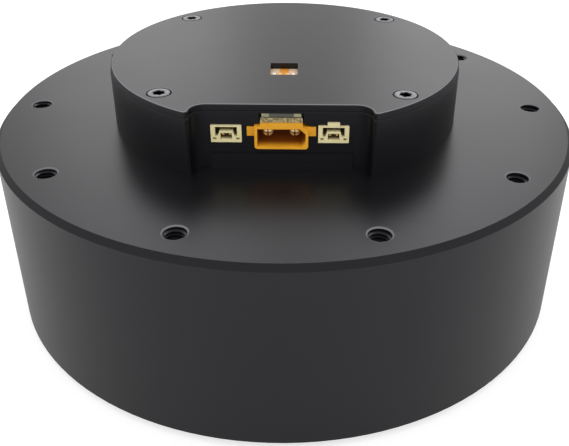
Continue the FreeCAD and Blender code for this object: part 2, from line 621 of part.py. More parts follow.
def smallBearing(label, radii, heights, roller, count):
    """Rollers on end, midway between the two radii and 0.6 mm inside the bearing's two faces."""
    bottom, top = (value(height) for height in heights)
    circle = sum(value(radius) for radius in radii) / 2
    rollers = []
    for number in range(count):
        pin = Part.makeCylinder(roller, top - bottom - 1.2, Vector(circle, 0, bottom + 0.6))
        pin.rotate(Vector(), Vector(0, 0, 1), 360 * number / count)
        rollers.append(pin)
    shaped(label + "_rollers", Part.makeCompound(rollers))


def rotorBearings():
    plainRing("rear_bearing_outer", "rearBearingOuter - 1.2", "rearBearingOuter", "rearBearingBottom",
              "rearBearingTop")
    plainRing("rear_bearing_inner", "rearShaft", "rearShaft + 1.2", "rearBearingBottom", "rearBearingTop")
    smallBearing("rear_bearing", ("rearShaft", "rearBearingOuter"), ("rearBearingBottom", "rearBearingTop"),
                 1.0, 10)
    plainRing("front_bearing_outer", "4.5", "5", "hubTop - 8", "hubTop")
    smallBearing("front_bearing", ("frontShaft - 0.5", "5"), ("hubTop - 8", "hubTop"), 0.7, 8)


# Driver board and connectors
def driverBoard():
    body = startBody("driver_board")
    pad(body, "Board", "XY_Plane", "boardTop - boardBottom", disc=("boardRadius", "boardFront"),
        lift="boardBottom")
    pad(body, "Tab", "XY_Plane", "boardTop - boardBottom", lift="boardBottom", loops=[
        box(("0 - tabHalf", "tabHalf"), ("0 - boardTab", "0 - boardFront + 1"))])
    relief = pocket(body, "LugRelief", "XY_Plane", "boardTop - boardBottom", lift="boardTop",
                    turn="coverScrewAngle", circles=[("coverScrewCircle", "0", "lugRadius + 0.4")])
    polar(body, "LugReliefs", [relief], "coverScrewCount")
    hole = pocket(body, "PostHole", "XY_Plane", "boardTop - boardBottom", lift="boardTop", turn="postAngle",
                  circles=[("postCircle", "0", "screwTap")])
    polar(body, "PostHoles", [hole], "postCount")


def boardParts():
    shunt = startBody("shunt_resistor")
    front = "0 - boardTab + 0.3"
    pad(shunt, "Chip", "XY_Plane", "0.68", lift="boardTop",
        loops=[box(("-3", "3"), (front + " + 0.05", front + " + 0.95"))])
    for name, side in (("LeftEnd", ("-3.6", "-2.4")), ("RightEnd", ("2.4", "3.6"))):
        pad(shunt, name, "XY_Plane", "0.75", lift="boardTop", loops=[box(side, (front, front + " + 1"))])
    chip = startBody("encoder_chip")
    pad(chip, "Chip", "XY_Plane", "1.7", lift="boardBottom - 1.7",
        loops=[box(("-2.5", "2.5"), ("-2.5", "2.5"))])
    transistors = startBody("power_transistors")
    device = pad(transistors, "Device", "XY_Plane", "1", lift="boardBottom - 1", turn="60",
                 loops=[box(("16", "21"), ("-3", "3"))])
    polar(transistors, "Devices", [device], "6")
    capacitors = startBody("capacitors")
    spots = (("25.5", "6"), ("25.5", "-6"), ("-22.8", "12.5"), ("-18", "17.9"))
    pad(capacitors, "Cans", "XY_Plane", "6", lift="boardBottom - 6",
        circles=[(x, y, "3.15") for x, y in spots])


def dipSwitch():
    body = startBody("dip_switch")
    pad(body, "Case", "XY_Plane", "dipTop - boardTop", lift="boardTop",
        loops=[box(("0 - dipHalf", "dipHalf"), ("0 - dipFront", "0 - dipBack"))])
    middle = -(value("dipFront") + value("dipBack")) / 2
    travel = value("leverTravel")
    slotLow, slotHigh = str(middle - travel - 0.1), str(middle + travel + 0.1)
    spots = [(number - 1.5) * value("leverPitch") for number in range(4)]
    pocket(body, "Slots", "XY_Plane", "0.8", lift="dipTop",
           loops=[box((str(x - 0.4), str(x + 0.4)), (slotLow, slotHigh)) for x in spots])
    for number, x in enumerate(spots, start=1):
        lever = startBody(f"dip_lever_{number}")
        pad(lever, "Lever", "XY_Plane", "1.15", lift="dipTop - 0.75", loops=[
            box((str(x - 0.33), str(x + 0.33)), (str(middle - travel), str(middle)))])


def powerConnector():
    body = startBody("power_connector")
    left, right = "0 - powerHalf", "powerHalf"
    pad(body, "Case", "XZ_Plane", "powerDepth", lift="powerFront - powerDepth", loops=[[
        (left, "powerBottom"), (right, "powerBottom"), (right, "powerTop - 1"), ("powerHalf - 1", "powerTop"),
        ("tabHalf", "powerTop"), ("tabHalf", "boardBottom"), ("0 - tabHalf", "boardBottom"),
        ("0 - tabHalf", "powerTop"), (left, "powerTop")]])
    low = value("powerBottom")
    dress("Fillet", body, "CaseCorners", "0.6",
          lambda edge: all(abs(vertex.Point.z - low) < 1e-6 for vertex in edge.Vertexes)
          and abs(edge.Vertexes[0].Point.y - edge.Vertexes[-1].Point.y) > 1)
    pad(body, "Ears", "XZ_Plane", "2", lift="powerFront - 2.7", loops=[
        box(("0 - earHalf", "earHalf"), ("earBottom", "earTop"))])
    wall = "0.5"
    pocket(body, "Socket", "XZ_Plane", "7", lift="powerFront", loops=[[
        (f"{left} + {wall}", f"powerBottom + {wall}"), ("powerHalf - 1.2", f"powerBottom + {wall}"),
        (f"powerHalf - {wall}", "powerBottom + 1.2"), (f"powerHalf - {wall}", "powerTop - 1.5"),
        ("powerHalf - 1.5", f"powerTop - {wall}"), (f"{left} + {wall}", f"powerTop - {wall}")]])
    sides = ("0 - pinSide", "pinSide")
    poles = [(x, "pinHeight", "pinRadius") for x in sides]
    pocket(body, "PinBores", "XZ_Plane", "powerDepth", lift="powerFront", circles=poles)
    pins = startBody("power_pins")
    pad(pins, "Pins", "XZ_Plane", "pinFront - tailPlace + 1", lift="tailPlace - 1", circles=poles)
    front = value("pinFront")
    dress("Chamfer", pins, "PinTips", "0.35",
          lambda edge: isinstance(edge.Curve, Part.Circle) and abs(edge.Curve.Center.y + front) < 1e-6)
    for name, across, up in (("UprightSlits", "0.14", "1.1"), ("LevelSlits", "1.1", "0.14")):
        pocket(pins, name, "XZ_Plane", "3", lift="pinFront", loops=[
            box((f"{x} - {across}", f"{x} + {across}"), (f"pinHeight - {up}", f"pinHeight + {up}"))
            for x in sides])
    pad(pins, "Tails", "XY_Plane", "boardBottom - pinHeight", lift="pinHeight",
        circles=[(x, "0 - tailPlace", "0.8") for x in sides])


def signalConnector(side, centre, latch):
    """Small locking header, face to -Y: a recess over a sloping tongue, and a slot for the contacts."""
    body = startBody(f"signal_connector_{side}")

    def at(points):
        return [(f"{centre} {'-' if x < 0 else '+'} {abs(x)}", f"headerBottom + {z}") for x, z in points]

    back = "headerFront - 6"
    edges = (f"{centre} - headerHalf", f"{centre} + headerHalf")
    pad(body, "Case", "XZ_Plane", "6", lift=back, loops=[box(edges, ("headerBottom", "headerTop"))])
    pad(body, "Foot", "XZ_Plane", "2.5", lift=back, loops=[box(edges, ("headerTop - 0.3", "boardBottom"))])
    if latch:
        pad(body, "LatchHousing", "XZ_Plane", "2.3", lift="headerFront - 2.3", loops=[
            box((f"{centre} - latchHalf", f"{centre} + latchHalf"), ("headerTop - 0.3", "latchTop"))])
    pocket(body, "Recess", "XZ_Plane", "4.5", lift="headerFront", loops=[
        at([(-2, 1.2), (-1.5, 1.2), (-1.2, 2.25), (1.2, 2.25), (1.5, 1.2), (2, 1.2), (2, 3.05), (-2, 3.05)]),
        at([(-1.1, 0.6), (1.1, 0.6), (1, 1.85), (-1, 1.85)])])
    pocket(body, "CornerHoles", "XZ_Plane", "1.5", lift="headerFront", loops=[
        at([(x - 0.3, 0.5), (x + 0.3, 0.5), (x + 0.3, 0.95), (x - 0.3, 0.95)]) for x in (-2.1, 2.1)])
    contacts = startBody(f"signal_contacts_{side}")
    pad(contacts, "Contacts", "XZ_Plane", "3.6", lift="headerFront - 4.5", loops=[
        at([(x - 0.2, 1.05), (x + 0.2, 1.05), (x + 0.2, 1.45), (x - 0.2, 1.45)]) for x in (-0.625, 0.625)])


mainHousing()
driverCover()
fasteners()
frontHousing()
outputFlange()
carrierPlate()
planetPins()
outputBearing()
plainRing("output_seal", "flangeRadius + 0.3", "bearingOuter", "bodyBottom + 0.1", "bearingBottom - 0.1")
gearTrain()
stator()
rotor()
rotorBearings()
phaseLeads()
driverBoard()
boardParts()
dipSwitch()
powerConnector()
signalConnector("left", "0 - leftHeader", False)
signalConnector("right", "rightHeader", True)

# Check and write
doc.recompute()
failed = [item.Name for item in doc.Objects if "Invalid" in item.State or "Error" in item.State]
if failed:
    raise SystemExit(f"failed objects: {failed}")
for label, item in nodes.items():
    if item.Shape.isNull() or not item.Shape.isValid():
        raise SystemExit(f"{label} has no valid shape")
os.makedirs("parts", exist_ok=True)
for label, item in nodes.items():
    item.Shape.exportStep(f"parts/{label}.step")
print(len(nodes), "sub-parts written")
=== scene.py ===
import math

import bpy
from mathutils import Matrix, Vector


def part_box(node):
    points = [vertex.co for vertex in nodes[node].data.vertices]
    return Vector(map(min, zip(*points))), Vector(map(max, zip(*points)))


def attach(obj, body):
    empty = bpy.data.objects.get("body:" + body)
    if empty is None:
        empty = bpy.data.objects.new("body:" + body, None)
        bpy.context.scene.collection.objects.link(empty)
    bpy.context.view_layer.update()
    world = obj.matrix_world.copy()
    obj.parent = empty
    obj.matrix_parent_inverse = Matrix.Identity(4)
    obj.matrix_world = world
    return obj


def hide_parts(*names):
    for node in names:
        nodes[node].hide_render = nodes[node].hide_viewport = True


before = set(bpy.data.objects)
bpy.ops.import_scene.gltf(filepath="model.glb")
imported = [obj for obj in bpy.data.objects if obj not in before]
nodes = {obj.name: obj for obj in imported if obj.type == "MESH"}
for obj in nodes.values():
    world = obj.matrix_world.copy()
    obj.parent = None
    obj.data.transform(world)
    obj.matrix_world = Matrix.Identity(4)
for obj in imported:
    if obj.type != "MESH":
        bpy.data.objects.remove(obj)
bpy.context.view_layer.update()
mm = 0.001
print("frame loaded:", len(nodes), "sub-parts")


def tint(red, green, blue):  # a screen colour, 0 to 255, as the linear one that a socket takes
    def channel(level):
        level = level / 255
        return level / 12.92 if level <= 0.04045 else ((level + 0.055) / 1.055) ** 2.4
    return (channel(red), channel(green), channel(blue), 1.0)


# Node helpers: numbers go on a socket, sockets are wired to it.
def addNode(tree, kind, **settings):
    node = tree.nodes.new(kind)
    for name, value in settings.items():
        setattr(node, name, value)
    return node


def feed(tree, socket, value):
    if isinstance(value, bpy.types.NodeSocket):
        tree.links.new(value, socket)
    else:
        socket.default_value = value


def calc(tree, operation, *terms):
    node = addNode(tree, "ShaderNodeMath", operation=operation)
    for socket, term in zip(node.inputs, terms):
        feed(tree, socket, term)
    return node.outputs[0]


def sumOfSquares(tree, x, y):
    return calc(tree, "ADD", calc(tree, "MULTIPLY", x, x), calc(tree, "MULTIPLY", y, y))


def mixTints(tree, amount, first, second):
    node = addNode(tree, "ShaderNodeMix", data_type="RGBA")
    feed(tree, node.inputs["Factor"], amount)
    feed(tree, node.inputs["A"], first)
    feed(tree, node.inputs["B"], second)
    return node.outputs["Result"]


def between(tree, value, low, high):  # value from 0 to 1 brought to low to high
    node = addNode(tree, "ShaderNodeMapRange")
    feed(tree, node.inputs["Value"], value)
    node.inputs["To Min"].default_value = low
    node.inputs["To Max"].default_value = high
    return node.outputs["Result"]


def step(tree, value, low, high):  # 0 below low, 1 above high
    node = addNode(tree, "ShaderNodeMapRange", interpolation_type="SMOOTHSTEP")
    feed(tree, node.inputs["Value"], value)
    node.inputs["From Min"].default_value = low
    node.inputs["From Max"].default_value = high
    return node.outputs["Result"]


def noise(tree, vector, scale, detail=2.0, dimensions="3D"):
    node = addNode(tree, "ShaderNodeTexNoise", noise_dimensions=dimensions)
    feed(tree, node.inputs["W" if dimensions == "1D" else "Vector"], vector)
    feed(tree, node.inputs["Scale"], scale)
    node.inputs["Detail"].default_value = detail
    return node.outputs["Fac"]


def texturePoint(tree, kind="Object"):
    return addNode(tree, "ShaderNodeTexCoord").outputs[kind]


def axes(tree, kind="Object"):  # the X, Y and Z of a place, or of a normal or a direction
    parts = addNode(tree, "ShaderNodeSeparateXYZ")
    tree.links.new(texturePoint(tree, kind), parts.inputs[0])
    return parts.outputs


def newGroup(name, inputs, outputs):
    group = bpy.data.node_groups.new(name, "ShaderNodeTree")
    for label, start in inputs.items():
        socket = group.interface.new_socket(label, in_out="INPUT", socket_type="NodeSocketFloat")
        socket.default_value = start
    for label in outputs:
        group.interface.new_socket(label, in_out="OUTPUT", socket_type="NodeSocketFloat")
    return group, group.nodes.new("NodeGroupInput"), group.nodes.new("NodeGroupOutput")


def useGroup(tree, group, **values):
    node = addNode(tree, "ShaderNodeGroup", node_tree=group)
    for label, value in values.items():
        feed(tree, node.inputs[label], value)
    return node


# Shared effects. Their sizes are in mm and their turns in degrees.
def makeGrain():  # fine blasted or moulded grain, and broad unevenness
    group, entry, out = newGroup("surfaceGrain", {"Grain": 0.15, "Patch": 12.0}, ("Height", "Patches"))
    place = texturePoint(group)
    fine = noise(group, place, calc(group, "DIVIDE", 1000.0, entry.outputs["Grain"]), 3.0)
    broad = noise(group, place, calc(group, "DIVIDE", 1000.0, entry.outputs["Patch"]), 4.0)
    group.links.new(fine, out.inputs["Height"])
    group.links.new(broad, out.inputs["Patches"])
    return group


def makeTurned():  # lathe lines round the Z axis, on walls and on flat faces alike
    group, entry, out = newGroup("turnedLines", {"Pitch": 0.2}, ("Height",))
    x, y, z = axes(group)
    along = calc(group, "ADD", calc(group, "SQRT", sumOfSquares(group, x, y)), z)
    lines = noise(group, along, calc(group, "DIVIDE", 1000.0, entry.outputs["Pitch"]), 2.0, "1D")
    group.links.new(lines, out.inputs["Height"])
    return group


def makeMouths():  # 1 on thin rings round the mouths of a circle of holes
    inputs = {"Circle": 50.0, "Spacing": 36.0, "First": 0.0, "Inner": 2.0, "Outer": 2.3}
    group, entry, out = newGroup("holeMouths", inputs, ("Mask",))
    x, y = (calc(group, "MULTIPLY", socket, 1000.0) for socket in axes(group)[:2])
    square = sumOfSquares(group, x, y)
    spacing = calc(group, "RADIANS", entry.outputs["Spacing"])
    half = calc(group, "DIVIDE", spacing, 2.0)
    first = calc(group, "RADIANS", entry.outputs["First"])
    turn = calc(group, "ADD", calc(group, "SUBTRACT", calc(group, "ARCTAN2", y, x), first), half)
    offset = calc(group, "SUBTRACT", calc(group, "FLOORED_MODULO", turn, spacing), half)
    across = calc(group, "MULTIPLY", calc(group, "SQRT", square), calc(group, "COSINE", offset))
    circle = entry.outputs["Circle"]
    twice = calc(group, "MULTIPLY", calc(group, "MULTIPLY", across, circle), 2.0)
    both = calc(group, "ADD", square, calc(group, "MULTIPLY", circle, circle))
    reach = calc(group, "SQRT", calc(group, "MAXIMUM", calc(group, "SUBTRACT", both, twice), 0.0))
    inside = calc(group, "LESS_THAN", reach, entry.outputs["Outer"])
    outside = calc(group, "GREATER_THAN", reach, entry.outputs["Inner"])
    group.links.new(calc(group, "MULTIPLY", inside, outside), out.inputs["Mask"])
    return group


surfaceGrain = makeGrain()
turnedLines = makeTurned()
holeMouths = makeMouths()


def newFinish(name, **constants):  # a material and its Principled shader, with its constants
    material = bpy.data.materials.new(name)
    material.use_nodes = True
    tree = material.node_tree
    shader = tree.nodes["Principled BSDF"]
    for label, value in constants.items():
        shader.inputs[label].default_value = value
    return material, tree, shader


def addBump(tree, shader, height, distance):
    bump = addNode(tree, "ShaderNodeBump")
    bump.inputs["Strength"].default_value = 1.0
    bump.inputs["Distance"].default_value = distance
    tree.links.new(height, bump.inputs["Height"])
    tree.links.new(bump.outputs["Normal"], shader.inputs["Normal"])


def tilted(tree, low, high):  # 0 on walls, rising to 1 where a face tilts up or down by more than high
    return step(tree, calc(tree, "ABSOLUTE", axes(tree, "Normal")["Z"]), low, high)


def upFacing(tree):  # 1 on faces that look up or down, 0 on walls
    return tilted(tree, 0.80, 0.95)


blackCoat = {
    "dark": (13, 13, 15), "light": (18, 18, 20), "ior": 1.45,
    "blastedRoughness": (0.29, 0.35), "turnedRoughness": (0.30, 0.36),
    "grain": 0.16, "patch": 22.0, "pitch": 0.12,
    "grainHeight": 0.004 * mm, "lineShare": 0.3,
    "mouthTint": (150, 150, 154), "mouthShare": 0.5, "edgeTint": (120, 120, 126), "edge": 0.14 * mm,
    "sheen": (0.95, 0.93, 1.0, 1.0), "chamferRoughness": 0.3,
}
rearHoles = {  # in mm and degrees
    "circle": 53.3, "spacing": 36.0, "first": -72.0, "inner": 2.02, "outer": 2.28, "above": 38.0,
}


def blackAnodised():  # blasted flats, turned walls, bare metal where the thread mouths were cut, a painted highlight on the cover's top edge
    constants = {"IOR": blackCoat["ior"], "Specular Tint": blackCoat["sheen"]}
    material, tree, shader = newFinish("blackAnodised", **constants)
    grain = useGroup(tree, surfaceGrain, Grain=blackCoat["grain"], Patch=blackCoat["patch"])
    lines = useGroup(tree, turnedLines, Pitch=blackCoat["pitch"])
    rings = useGroup(tree, holeMouths, Circle=rearHoles["circle"], Spacing=rearHoles["spacing"],
                     First=rearHoles["first"], Inner=rearHoles["inner"], Outer=rearHoles["outer"])
    patches = grain.outputs["Patches"]
    flat = upFacing(tree)
    height = axes(tree)["Z"]
    coat = mixTints(tree, patches, tint(*blackCoat["dark"]), tint(*blackCoat["light"]))
    upper = calc(tree, "GREATER_THAN", height, rearHoles["above"] * mm)
    mouths = calc(tree, "MULTIPLY", rings.outputs["Mask"], upper)
    mouths = calc(tree, "MULTIPLY", mouths, blackCoat["mouthShare"])
    colour = mixTints(tree, mouths, coat, tint(*blackCoat["mouthTint"]))
    # painted highlight: light grey on the walls and slopes just below the cover's top
    top = calc(tree, "GREATER_THAN", height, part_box("driver_cover")[1].z - blackCoat["edge"])
    edge = calc(tree, "MULTIPLY", top, calc(tree, "SUBTRACT", 1.0, flat))
    feed(tree, shader.inputs["Base Color"], mixTints(tree, edge, colour, tint(*blackCoat["edgeTint"])))
    roughness = addNode(tree, "ShaderNodeMix")
    feed(tree, roughness.inputs["Factor"], flat)
    feed(tree, roughness.inputs["A"], between(tree, patches, *blackCoat["turnedRoughness"]))
    feed(tree, roughness.inputs["B"], between(tree, patches, *blackCoat["blastedRoughness"]))
    chamfers = calc(tree, "MAXIMUM", calc(tree, "SUBTRACT", tilted(tree, 0.3, 0.5), flat), 0.0)
    rougher = calc(tree, "MULTIPLY", chamfers, blackCoat["chamferRoughness"])
    feed(tree, shader.inputs["Roughness"], calc(tree, "ADD", roughness.outputs["Result"], rougher))
    share = calc(tree, "MULTIPLY", calc(tree, "SUBTRACT", 1.0, flat), blackCoat["lineShare"])
    relief = calc(tree, "ADD", calc(tree, "MULTIPLY", grain.outputs["Height"], flat),
                  calc(tree, "MULTIPLY", lines.outputs["Height"], share))
    addBump(tree, shader, relief, blackCoat["grainHeight"])
    return material


def groundMetal(name, dark, light, roughness=(0.22, 0.34), pitch=0.15, height=0.002 * mm, patch=5.0,
                metallic=1.0):
    material, tree, shader = newFinish(name, Metallic=metallic)
    grain = useGroup(tree, surfaceGrain, Grain=0.08, Patch=patch)
    lines = useGroup(tree, turnedLines, Pitch=pitch)
    patches = grain.outputs["Patches"]
    feed(tree, shader.inputs["Base Color"], mixTints(tree, patches, tint(*dark), tint(*light)))
    feed(tree, shader.inputs["Roughness"], between(tree, patches, *roughness))
    finer = calc(tree, "MULTIPLY", grain.outputs["Height"], 0.4)
    addBump(tree, shader, calc(tree, "ADD", lines.outputs["Height"], finer), height)
    return material


def mouldedPlastic(name, dark, light, roughness=(0.38, 0.5), grain=0.1, height=0.002 * mm, patch=2.5):
    material, tree, shader = newFinish(name)
    texture = useGroup(tree, surfaceGrain, Grain=grain, Patch=patch)
    patches = texture.outputs["Patches"]
    feed(tree, shader.inputs["Base Color"], mixTints(tree, patches, tint(*dark), tint(*light)))
    feed(tree, shader.inputs["Roughness"], between(tree, patches, *roughness))
    addBump(tree, shader, texture.outputs["Height"], height)
    return material


def overlay(material, mask, darker):  # a second colour over the first one where the mask is 1; here it paints shade into recesses
    tree = material.node_tree
    socket = tree.nodes["Principled BSDF"].inputs["Base Color"]
    feed(tree, socket, mixTints(tree, mask, socket.links[0].from_socket, tint(*darker)))
    return material


def fromMiddle(tree, name):  # distance along X from the middle of a node, and half the node's width
    low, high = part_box(name)
    offset = calc(tree, "SUBTRACT", axes(tree)["X"], (low.x + high.x) / 2)
    return calc(tree, "ABSOLUTE", offset), (high.x - low.x) / 2


def circuitBoard():  # dark mask on the faces, mottled bare laminate on the edges
    material, tree, shader = newFinish("circuitBoard")
    grain = useGroup(tree, surfaceGrain, Grain=0.12, Patch=0.45)
    speckle = step(tree, grain.outputs["Patches"], 0.42, 0.6)
    laminate = mixTints(tree, speckle, tint(112, 104, 74), tint(176, 166, 126))
    mask = mixTints(tree, grain.outputs["Patches"], tint(14, 26, 20), tint(22, 38, 28))
    feed(tree, shader.inputs["Base Color"], mixTints(tree, upFacing(tree), laminate, mask))
    feed(tree, shader.inputs["Roughness"], between(tree, grain.outputs["Height"], 0.35, 0.6))
    addBump(tree, shader, grain.outputs["Height"], 0.004 * mm)
    return material


chip = {"end": 1.35 * mm, "endMetal": 0.4}


def chipResistor():  # a grey ceramic body between two tinned ends
    material, tree, shader = newFinish("chipResistor")
    reach, half = fromMiddle(tree, "shunt_resistor")
    ends = calc(tree, "GREATER_THAN", reach, half - chip["end"])
    grain = useGroup(tree, surfaceGrain, Grain=0.1, Patch=0.6)
    tin = mixTints(tree, grain.outputs["Patches"], tint(176, 174, 138), tint(206, 204, 168))
    body = mixTints(tree, grain.outputs["Patches"], tint(84, 88, 78), tint(112, 116, 104))
    feed(tree, shader.inputs["Base Color"], mixTints(tree, ends, body, tin))
    feed(tree, shader.inputs["Metallic"], calc(tree, "MULTIPLY", ends, chip["endMetal"]))
    feed(tree, shader.inputs["Roughness"], between(tree, grain.outputs["Height"], 0.3, 0.45))
    addBump(tree, shader, grain.outputs["Height"], 0.004 * mm)
    return material


def socketNylon(name, dark, light, paintedShadeTint, node, reach):  # painted shade: darker from the mouth down to reach mm, standing in for the shade inside the socket
    material = mouldedPlastic(name, dark, light, patch=3.0)
    tree = material.node_tree
    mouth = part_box(node)[0].y
    # painted shade: the nylon turns to the shade tint deeper in the socket
    paintedShade = step(tree, axes(tree)["Y"], mouth + 0.2 * mm, mouth + reach * mm)
    return overlay(material, calc(tree, "MULTIPLY", paintedShade, 0.9), paintedShadeTint)


switchStripe = {"inner": 0.75 * mm, "outer": 1.15 * mm}


def twoTone(name, dark, light, middle):  # moulded in two colours, the warm one in the middle
    material, tree, shader = newFinish(name)
    texture = useGroup(tree, surfaceGrain, Grain=0.1, Patch=0.8)
    reach, _ = fromMiddle(tree, "dip_switch")
    outer = step(tree, reach, switchStripe["inner"], switchStripe["outer"])
    pale = mixTints(tree, texture.outputs["Patches"], tint(*dark), tint(*light))
    feed(tree, shader.inputs["Base Color"], mixTints(tree, outer, tint(*middle), pale))
    feed(tree, shader.inputs["Roughness"], between(tree, texture.outputs["Patches"], 0.38, 0.5))
    addBump(tree, shader, texture.outputs["Height"], 0.002 * mm)
    return material


def stackedSteel():  # thin sheets one on another
    material, tree, shader = newFinish("stackedSteel", Metallic=0.8)
    sheets = useGroup(tree, turnedLines, Pitch=0.35).outputs["Height"]
    feed(tree, shader.inputs["Base Color"], mixTints(tree, sheets, tint(60, 60, 64), tint(120, 120, 124)))
    feed(tree, shader.inputs["Roughness"], between(tree, sheets, 0.35, 0.55))
    addBump(tree, shader, sheets, 0.02 * mm)
    return material


finishes = {
    "housing_black": blackAnodised(),
    "steel": groundMetal("groundSteel", (164, 164, 167), (184, 184, 186)),
    "screw_steel": groundMetal("screwSteel", (128, 128, 131), (168, 168, 170), (0.28, 0.4), 0.1),
    "gear_steel": groundMetal("gearSteel", (140, 140, 144), (176, 176, 180), (0.25, 0.35), 0.12),
    "black_screw": groundMetal("blackOxide", (30, 30, 32), (52, 52, 54), (0.35, 0.5), 0.1),
    "bronze": groundMetal("sinteredBronze", (150, 110, 60), (188, 142, 84), (0.4, 0.55), 0.3),
    "gold": groundMetal("goldPlate", (238, 200, 126), (255, 232, 178), (0.26, 0.36), 0.2,
                        0.001 * mm, 0.8, 0.7),
    "copper": groundMetal("enamelledCopper", (150, 74, 38), (196, 108, 62), (0.25, 0.4), 0.35, 0.01 * mm),
    "lamination": stackedSteel(),
    "magnet": groundMetal("nickelPlate", (165, 163, 158), (205, 203, 198), (0.18, 0.28), 0.3),
    # the third colour of each socket nylon is its painted shade deep in the socket
    "yellow_nylon": socketNylon("yellowNylon", (228, 156, 28), (246, 180, 48), (138, 62, 14),
                                "power_connector", 2.6),
    "ivory_nylon": socketNylon("ivoryNylon", (226, 212, 156), (242, 232, 186), (92, 76, 30),
                               "signal_connector_left", 1.5),
    "board": circuitBoard(),
    "chip": mouldedPlastic("mouldedChip", (22, 22, 23), (34, 34, 35), (0.5, 0.65), 0.08),
    "ceramic": chipResistor(),
    "switch_case": twoTone("switchCase", (206, 176, 146), (226, 200, 172), (214, 138, 44)),
    "switch_lever": twoTone("switchLever", (232, 218, 190), (246, 236, 212), (236, 170, 62)),
    "can": groundMetal("drawnCan", (170, 170, 172), (206, 206, 208), (0.2, 0.3)),
    "insulation": mouldedPlastic("siliconeSleeve", (120, 24, 20), (150, 38, 30), (0.5, 0.6)),
    "seal": mouldedPlastic("nitrileSeal", (20, 20, 21), (32, 32, 33), (0.5, 0.65), 0.12),
}


def dressNodes():  # each CAD node's slot takes the finish of the record's material
    for node in nodes.values():
        for place in node.material_slots:
            place.material = finishes[place.material.name.split(".")[0]]


dressNodes()
print("finishes:", len(finishes))


def deselectAll():
    bpy.ops.object.select_all(action="DESELECT")


def namePiece(name):
    piece = bpy.context.active_object
    piece.name = name
    piece.data.name = name
    return piece


def applyAll(piece):
    for modifier in list(piece.modifiers):
        bpy.ops.object.modifier_apply(modifier=modifier.name)


def pickFaces(piece, test):  # leaves edit mode on with only the faces that pass the test selected
    bpy.ops.object.mode_set(mode="EDIT")
    bpy.ops.mesh.select_mode(type="FACE")
    bpy.ops.mesh.select_all(action="DESELECT")
    bpy.ops.object.mode_set(mode="OBJECT")
    for face in piece.data.polygons:
        face.select = test(face.center, face.normal)
    bpy.ops.object.mode_set(mode="EDIT")


def placeCopies(piece, name, seats, body, finish, replaced=None):  # one copy on each seat
    for number, seat in enumerate(seats, 1):
        copy = piece.copy()
        copy.data = piece.data.copy()
        bpy.context.scene.collection.objects.link(copy)
        copy.name = copy.data.name = f"{name}_{number}"
        copy.data.transform(seat)
        copy.data.materials.clear()
        copy.data.materials.append(finish)
        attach(copy, body)
        if replaced:
            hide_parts(replaced)
    bpy.data.objects.remove(piece)


def ringSeats(count, circle, first, height, upright):  # places round the Z axis, turned to face outwards
    seats = []
    for number in range(count):
        turn = math.radians(first + 360 * number / count)
        flip = Matrix.Identity(4) if upright else Matrix.Rotation(math.pi, 4, "X")
        place = Matrix.Translation((circle * math.cos(turn), circle * math.sin(turn), height))
        seats.append(place @ Matrix.Rotation(turn, 4, "Z") @ flip)
    return seats


coverScrew = {
    "head": 2.12 * mm, "depth": 0.95 * mm, "cone": 0.55, "sunk": 0.08 * mm, "rim": 0.08 * mm,
    "border": 0.22 * mm, "slope": 0.05 * mm, "step": 0.05 * mm,
    "sides": 12, "valley": 0.7, "recess": 1.32 * mm, "recessDepth": 0.75 * mm, "lobeRound": 0.2 * mm,
    "circle": 32.2 * mm, "first": 45.0, "count": 4, "slot": "screw_steel", "node": "cover_screws",
    "dark": (104, 104, 107), "light": (138, 138, 141), "recessShadeTint": (8, 8, 9), "litDepth": 0.14 * mm,
}
frontScrew = {
    "head": 1.84 * mm, "depth": 0.8 * mm, "cone": 0.6, "sunk": 0.02 * mm, "rim": 0.06 * mm,
    "border": 0.22 * mm, "slope": 0.05 * mm, "step": 0.03 * mm,
    "sides": 6, "valley": 1.0, "recess": 0.85 * mm, "recessDepth": 0.6 * mm, "lobeRound": 0.04 * mm,
    "circle": 57.1 * mm, "first": 0.0, "count": 6, "slot": "black_screw", "node": "front_screws",
    "dark": (30, 30, 32), "light": (52, 52, 54), "recessShadeTint": (8, 8, 9), "litDepth": 0.14 * mm,
}


def cutOut(piece, name, cutter):
    cut = piece.modifiers.new(name, "BOOLEAN")
    cut.object = cutter
    cut.operation = "DIFFERENCE"
    cut.solver = "EXACT"


def roundOff(piece, name, width, segments, angle):
    rounding = piece.modifiers.new(name, "BEVEL")
    rounding.width = width
    rounding.segments = segments
    rounding.limit_method = "ANGLE"
    rounding.angle_limit = math.radians(angle)


def recessCutter(sizes):  # a prism for the recess; every other edge is drawn in for lobes, then rounded
    bpy.ops.mesh.primitive_cylinder_add(vertices=sizes["sides"], radius=sizes["recess"],
                                        depth=2 * sizes["recessDepth"])
    cutter = namePiece("recessCutter")
    for corner in cutter.data.vertices:
        number = round(math.degrees(math.atan2(corner.co.y, corner.co.x)) * sizes["sides"] / 360)
        if number % 2:
            corner.co.x *= sizes["valley"]
            corner.co.y *= sizes["valley"]
    roundOff(cutter, "rounding", sizes["lobeRound"], 3, 25)
    applyAll(cutter)
    return cutter


def screwFinish(name, sizes, top, upright):  # a ground head, with painted shade making its recess black
    material = groundMetal(name, sizes["dark"], sizes["light"], (0.28, 0.4), 0.1)
    tree = material.node_tree
    height = axes(tree)["Z"]
    # painted shade: the recess deeper than litDepth is coloured near black
    if upright:
        paintedShade = calc(tree, "LESS_THAN", height, top - sizes["litDepth"])
    else:
        paintedShade = calc(tree, "GREATER_THAN", height, top + sizes["litDepth"])
    return overlay(material, paintedShade, sizes["recessShadeTint"])


